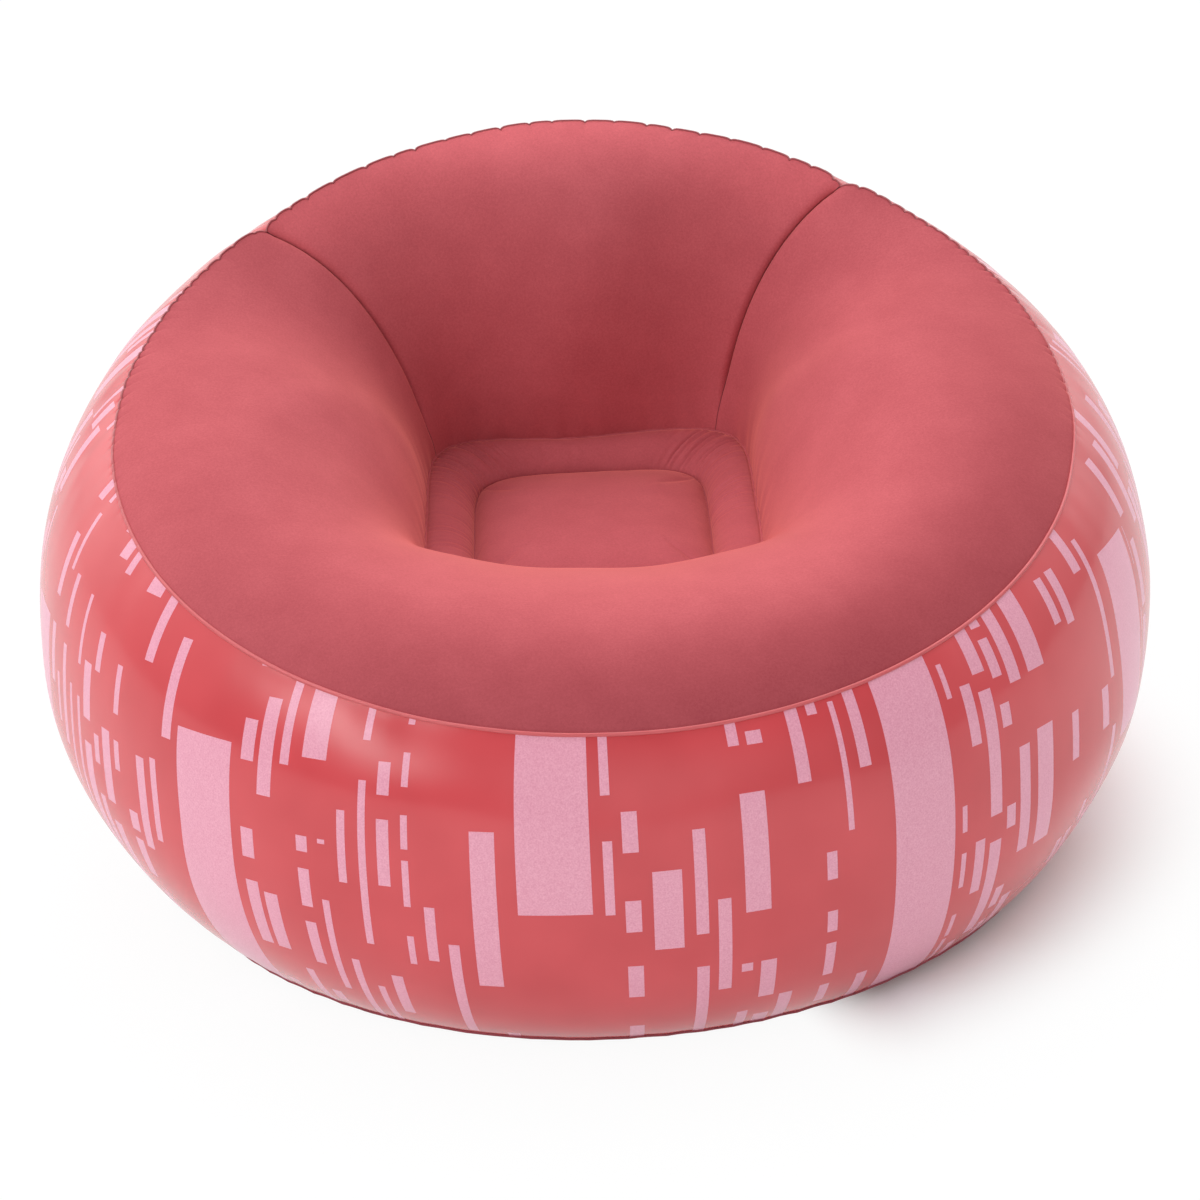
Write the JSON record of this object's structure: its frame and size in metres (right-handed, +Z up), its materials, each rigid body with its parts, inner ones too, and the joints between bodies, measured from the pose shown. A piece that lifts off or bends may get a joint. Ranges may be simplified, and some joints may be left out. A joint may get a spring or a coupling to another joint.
{
  "type": "inflatable chair",
  "caption": "Round inflatable lounge chair with a flocked horseshoe arm roll, a raised back, a sunken seat pad, a printed glossy side wall and a capped screw valve low at the rear.",
  "frame": {"origin": "on the floor below the middle of the chair's bounding box", "axes": "+Z up, the seat opens towards -Y, +X to the sitter's left"},
  "size_m": [1.1198, 1.1188, 0.6177],
  "materials": {
    "flocked_film": "matte coral flock on soft PVC film",
    "printed_film": "glossy red PVC film printed with pink bars and dashes",
    "plain_film": "satin red PVC film",
    "weld": "glossy welded seam in dark red PVC",
    "valve_plastic": "satin moulded red soft plastic",
    "silicone": "milky translucent silicone"
  },
  "bodies": {
    "chamber": {"side_wall": "printed_film", "bottom_panel": "plain_film", "arm_panel": "flocked_film", "back_panel": "flocked_film", "seat_channel_panel": "flocked_film", "seat_pad_panel": "flocked_film", "recess_tie_wall": "plain_film", "pad_tie_wall": "plain_film", "rim_seam": "weld", "base_seam": "weld", "back_seam_right": "weld", "back_seam_left": "weld", "recess_seam": "weld", "pad_seam": "weld", "valve_base": "valve_plastic", "insert_tether": "valve_plastic"},
    "insert_carrier": {"insert_gasket": "silicone"},
    "insert": {"valve_insert": "valve_plastic", "cap_tether": "valve_plastic"},
    "cap_carrier": {"cap_gasket": "silicone"},
    "cap": {"valve_cap": "valve_plastic"},
    "flap": {"valve_flap": "silicone"}
  },
  "joints": [
    {"name": "insert_lift", "type": "slide", "parent": "chamber", "child": "insert_carrier", "axis": [0, 0.893, -0.45], "range_m": [0, 0.01], "deforming": ["insert_tether"]},
    {"name": "insert_unscrew", "type": "hinge", "parent": "insert_carrier", "child": "insert", "pos_m": [0, 0.50529, 0.11125], "axis": [0, 0.893, -0.45], "range_deg": [0, 900]},
    {"name": "cap_lift", "type": "slide", "parent": "insert", "child": "cap_carrier", "axis": [0, 0.893, -0.45], "range_m": [0, 0.0075], "deforming": ["cap_tether"]},
    {"name": "cap_unscrew", "type": "hinge", "parent": "cap_carrier", "child": "cap", "pos_m": [0, 0.50529, 0.11125], "axis": [0, 0.893, -0.45], "range_deg": [0, 900]},
    {"name": "flap_open", "type": "slide", "parent": "insert", "child": "flap", "axis": [0, -0.893, 0.45], "range_m": [0, 0.003], "stiffness_N_per_m": 20, "springref_m": -0.002}
  ],
  "couplings": [
    {"joint": "insert_unscrew", "follows": "insert_lift", "rad_per_m": 1570.8},
    {"joint": "cap_unscrew", "follows": "cap_lift", "rad_per_m": 2094.4}
  ]
}
